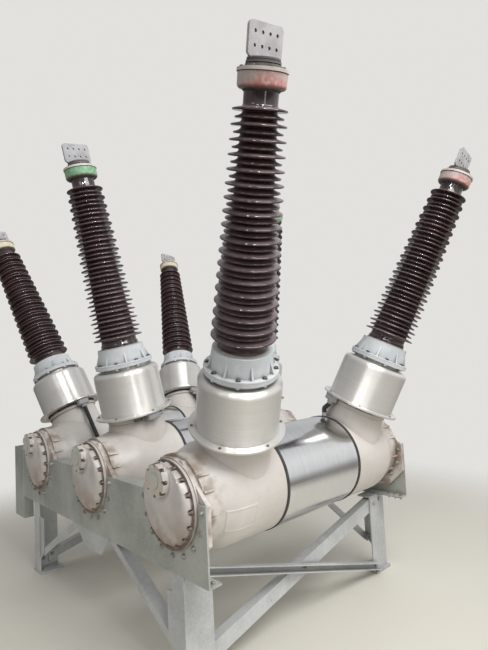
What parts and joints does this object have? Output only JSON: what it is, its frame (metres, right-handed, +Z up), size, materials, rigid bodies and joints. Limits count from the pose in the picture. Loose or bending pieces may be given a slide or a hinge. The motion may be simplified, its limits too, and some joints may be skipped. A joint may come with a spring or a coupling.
{
  "type": "three-pole dead-tank gas insulated circuit breaker",
  "caption": "Outdoor dead-tank gas breaker: parallel horizontal tanks on a steel frame, with leaning porcelain bushings and current transformer housings.",
  "frame": {"origin": "on the floor under the middle of the frame, at the centre of the bounding box's bottom", "axes": "+Z up; X runs from pole to pole, +X towards pole A; Y runs along the tanks, -Y towards the front covers"},
  "size_m": [3.6916, 2.1378, 3.1361],
  "materials": {
    "casting_paint": "satin warm light grey paint on a cast aluminium surface, dusty",
    "jacket_steel": "polished stainless sheet with soft vertical streaks",
    "cover_paint": "satin light grey paint with brown assembly stains round the hub",
    "housing_aluminium": "spun aluminium with fine rings round the axis",
    "collar_paint": "matte light blue-grey paint on a casting",
    "brown_porcelain": "dark brown gloss glaze with dust on the sheds",
    "cap_paint_a": "worn dull red phase paint over a white primer",
    "cap_paint_b": "worn green phase paint",
    "cap_paint_c": "worn pale yellow phase paint",
    "terminal_aluminium": "machined aluminium, slightly oxidised",
    "hose_rubber": "black ribbed conduit and grey gland box",
    "band_rubber": "matte black rubber",
    "galvanised_beam": "hot-dip galvanised plate, dull blue-grey with faint spangle and rust specks",
    "galvanised_leg": "hot-dip galvanised sections, light grey with faint spangle and rust specks"
  },
  "bodies": {
    "root": {"tank_a": "casting_paint", "jacket_a": "jacket_steel", "cover_front_a": "cover_paint", "cover_back_a": "cover_paint", "ct_housings_a": "housing_aluminium", "collars_a": "collar_paint", "porcelains_a": "brown_porcelain", "caps_a": "cap_paint_a", "terminals_a": "terminal_aluminium", "hoses_a": "hose_rubber", "tank_b": "casting_paint", "jacket_b": "jacket_steel", "cover_front_b": "cover_paint", "cover_back_b": "cover_paint", "ct_housings_b": "housing_aluminium", "collars_b": "collar_paint", "porcelains_b": "brown_porcelain", "caps_b": "cap_paint_b", "terminals_b": "terminal_aluminium", "hoses_b": "hose_rubber", "tank_c": "casting_paint", "jacket_c": "jacket_steel", "cover_front_c": "cover_paint", "cover_back_c": "cover_paint", "ct_housings_c": "housing_aluminium", "collars_c": "collar_paint", "porcelains_c": "brown_porcelain", "caps_c": "cap_paint_c", "terminals_c": "terminal_aluminium", "hoses_c": "hose_rubber", "jacket_bands": "band_rubber", "beam_front": "galvanised_beam", "legs_front": "galvanised_leg", "end_braces_front": "galvanised_leg", "gussets_front": "galvanised_leg", "beam_back": "galvanised_beam", "legs_back": "galvanised_leg", "end_braces_back": "galvanised_leg", "gussets_back": "galvanised_leg", "side_tie_a": "galvanised_leg", "side_strut_a": "galvanised_leg", "side_tie_c": "galvanised_leg", "side_strut_c": "galvanised_leg", "end_brackets": "galvanised_beam"}
  },
  "joints": []
}
